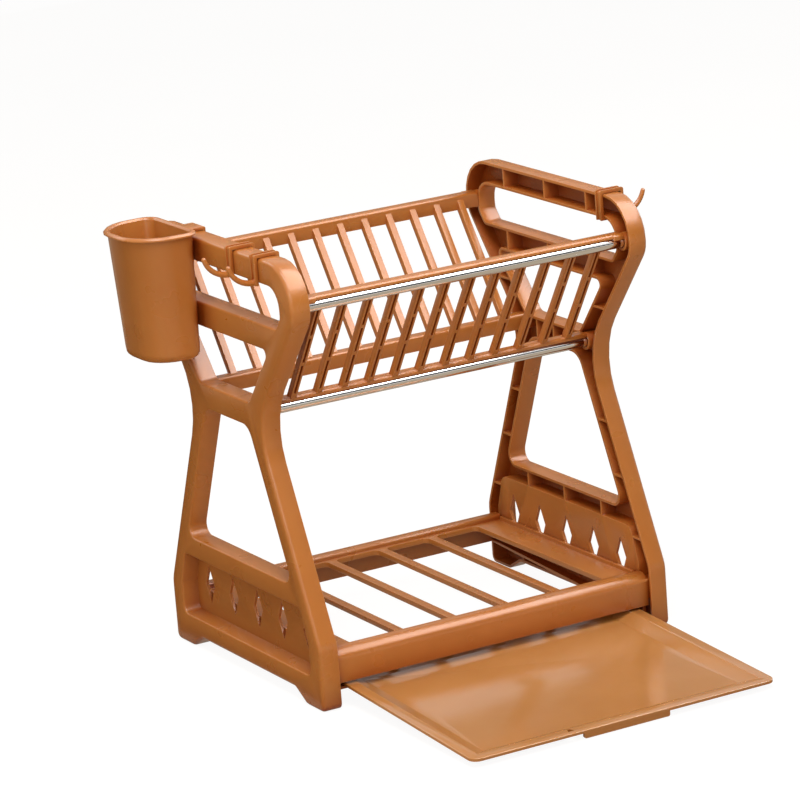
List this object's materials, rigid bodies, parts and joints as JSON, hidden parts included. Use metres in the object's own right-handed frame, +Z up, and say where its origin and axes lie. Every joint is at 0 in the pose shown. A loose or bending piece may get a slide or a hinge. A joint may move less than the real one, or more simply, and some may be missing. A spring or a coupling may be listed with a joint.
{
  "type": "two-tier dish rack",
  "caption": "Two-tier dish rack with moulded side frames, steel tubes, plate combs, slotted bowl shelf, sliding drip tray, hanging cutlery cup and clip-on hooks",
  "frame": {"origin": "on the standing surface, under the middle of the overall box with the tray drawn out and at rest", "axes": "+X to the rack's right along the tubes, +Y to the rear, away from the drawn tray, +Z up"},
  "size_m": [0.3866, 0.4216, 0.347],
  "materials": {
    "caramel_polypropylene": "satin moulded polypropylene, caramel tan",
    "polished_steel": "mirror-polished stainless or chromed tube"
  },
  "bodies": {
    "rack": {"left_side_frame": "caramel_polypropylene", "right_side_frame": "caramel_polypropylene", "front_upper_tube": "polished_steel", "front_lower_tube": "polished_steel", "rear_upper_tube": "polished_steel", "rear_lower_tube": "polished_steel", "front_plate_comb": "caramel_polypropylene", "rear_plate_comb": "caramel_polypropylene", "bowl_shelf": "caramel_polypropylene"},
    "tray": {"drip_tray": "caramel_polypropylene"},
    "cup": {"cutlery_cup": "caramel_polypropylene"},
    "left_front_hook": {"left_front_hook": "caramel_polypropylene"},
    "left_rear_hook": {"left_rear_hook": "caramel_polypropylene"},
    "right_hook": {"right_hook": "caramel_polypropylene"}
  },
  "joints": [
    {"name": "tray_slide", "type": "slide", "parent": "rack", "child": "tray", "axis": [0, -0.9986, -0.0523], "range_m": [-0.1825, 0]},
    {"name": "cup_lift", "type": "slide", "parent": "rack", "child": "cup", "axis": [0, 0, 1], "range_m": [0, 0.03]},
    {"name": "left_front_hook_slide", "type": "slide", "parent": "rack", "child": "left_front_hook", "axis": [0, 1, 0], "range_m": [-0.012, 0.012]},
    {"name": "left_rear_hook_slide", "type": "slide", "parent": "rack", "child": "left_rear_hook", "axis": [0, 1, 0], "range_m": [-0.012, 0.036]},
    {"name": "right_hook_slide", "type": "slide", "parent": "rack", "child": "right_hook", "axis": [0, 1, 0], "range_m": [0, 0.104]}
  ]
}
